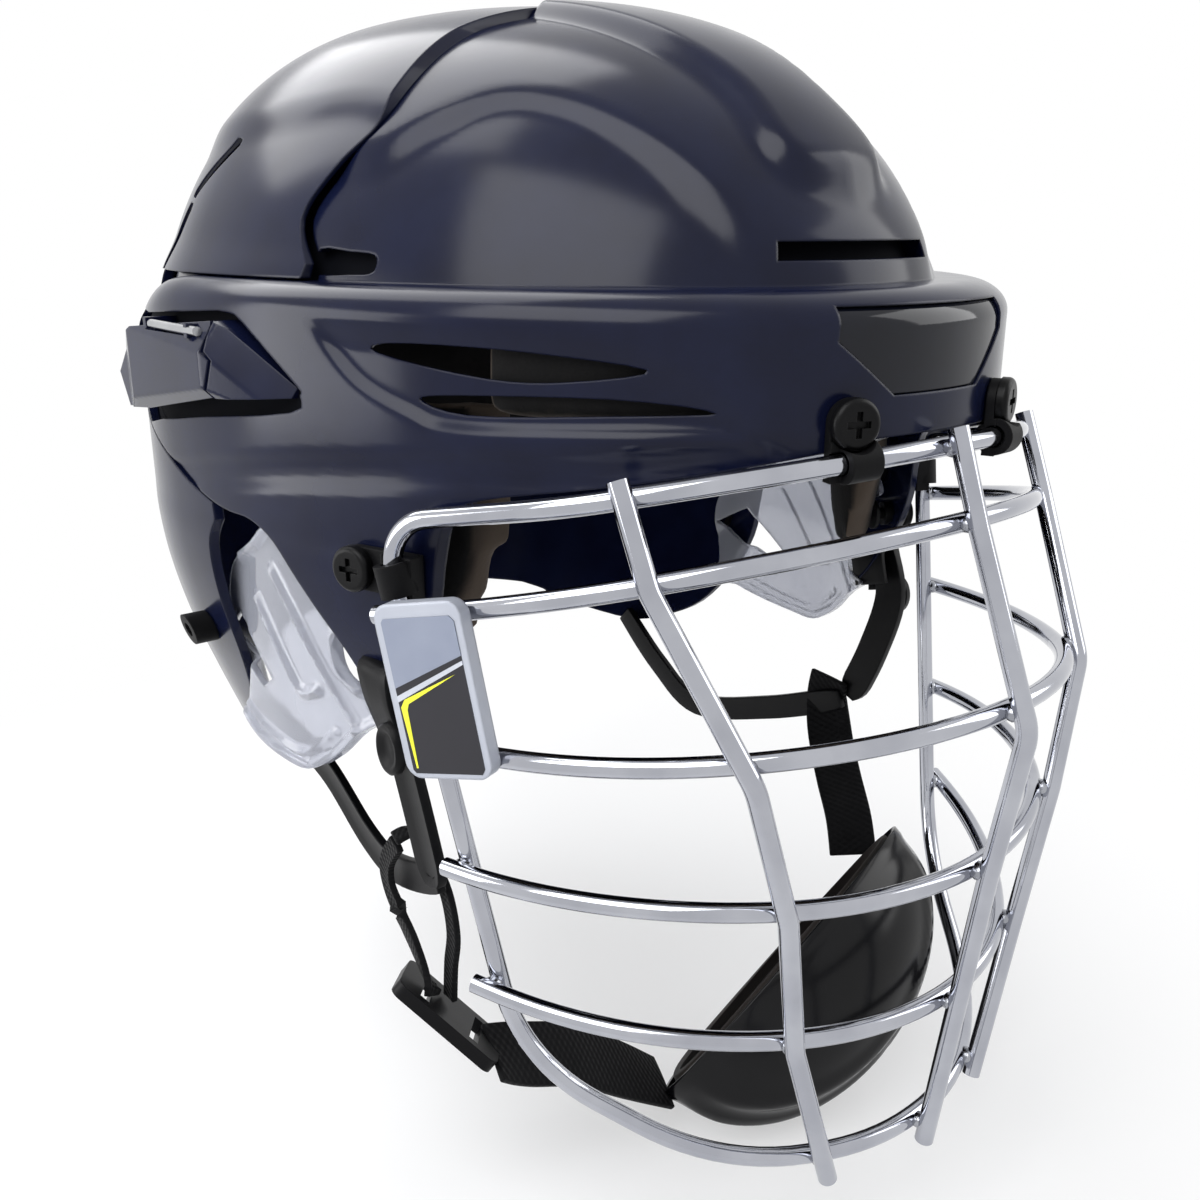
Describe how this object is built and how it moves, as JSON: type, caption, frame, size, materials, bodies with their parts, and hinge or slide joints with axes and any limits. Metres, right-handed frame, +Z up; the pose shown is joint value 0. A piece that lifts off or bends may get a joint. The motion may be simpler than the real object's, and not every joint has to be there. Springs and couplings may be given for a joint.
{
  "type": "lacrosse helmet",
  "caption": "Box lacrosse helmet with a split shell in two halves, chrome wire face cage, clear ear guards, foam liners, size adjuster latches and a hinged chin cup strap.",
  "frame": {"origin": "middle of the head opening, level with the widest line of the shell", "axes": "the face looks towards -Y, +Z is up through the crown, +X is the wearer's left"},
  "size_m": [0.2434, 0.3247, 0.327],
  "materials": {
    "shell": "gloss",
    "rear_shell": "gloss",
    "cage": "polished",
    "badge": "gloss",
    "black_steel": "satin",
    "steel": "satin",
    "clip": "matt",
    "clear_guard": "clear plastic",
    "foam": "matt foam",
    "strap_plastic": "matt",
    "webbing": "woven",
    "cup": "satin gloss",
    "tag": "gloss",
    "trim": "satin"
  },
  "bodies": {
    "front": {"brow_badge": "badge", "brow_pad": "foam", "cage_bar_2": "cage", "cage_bar_3": "cage", "cage_bar_4": "cage", "cage_bar_5": "cage", "cage_loop": "cage", "cage_upright_centre": "cage", "cage_upright_left": "cage", "cage_upright_right": "cage", "clip_nuts_left": "steel", "clip_nuts_right": "steel", "clip_screws_left": "black_steel", "clip_screws_right": "black_steel", "crown_pad_front": "foam", "ear_guard_left": "clear_guard", "ear_guard_right": "clear_guard", "forehead_clip_left": "clip", "forehead_clip_right": "clip", "front_shell": "shell", "guard_rivet_left": "black_steel", "guard_rivet_right": "black_steel", "guard_screw_left": "black_steel", "guard_screw_right": "black_steel", "latch_base_left": "trim", "latch_base_right": "trim", "latch_pin_left": "steel", "latch_pin_right": "steel", "rail_guide_left": "trim", "rail_guide_right": "trim", "side_clip_left": "clip", "side_clip_right": "clip", "side_pad_left": "foam", "side_pad_right": "foam", "size_tag": "tag", "snap_knob_left": "strap_plastic", "snap_knob_right": "strap_plastic", "strap_front_arm_left": "strap_plastic", "strap_front_arm_right": "strap_plastic", "strap_rear_arm_left": "strap_plastic", "strap_rear_arm_right": "strap_plastic", "temple_pad_left": "foam", "temple_pad_right": "foam"},
    "rear": {"adjust_rail_left": "trim", "adjust_rail_right": "trim", "crown_pad_rear": "foam", "occipital_pad": "foam", "rear_pad_left": "foam", "rear_pad_right": "foam", "rear_shell": "rear_shell", "strap_post_left": "clip", "strap_post_right": "clip"},
    "flap_right": {"latch_flap_right": "trim"},
    "flap_left": {"latch_flap_left": "trim"},
    "chin_strap": {"chin_cup": "cup", "chin_pad": "foam", "ladder_buckle": "clip", "strap_loop_right": "webbing", "webbing_right": "webbing", "webbing_left": "webbing"}
  },
  "joints": [
    {"name": "size_slide", "type": "slide", "parent": "front", "child": "rear", "axis": [0, 1, 0], "range_m": [0, 0.01]},
    {"name": "latch_right_hinge", "type": "hinge", "parent": "front", "child": "flap_right", "pos_m": [-0.1191, -0.02, 0.05058], "axis": [0, 1, 0], "range_deg": [0, 75]},
    {"name": "latch_left_hinge", "type": "hinge", "parent": "front", "child": "flap_left", "pos_m": [0.1191, -0.02, 0.05058], "axis": [0, -1, 0], "range_deg": [0, 75]},
    {"name": "chin_strap_swing", "type": "hinge", "parent": "front", "child": "chin_strap", "pos_m": [0, -0.09336, -0.08804], "axis": [1, 0, 0], "range_deg": [-5, 11]}
  ]
}
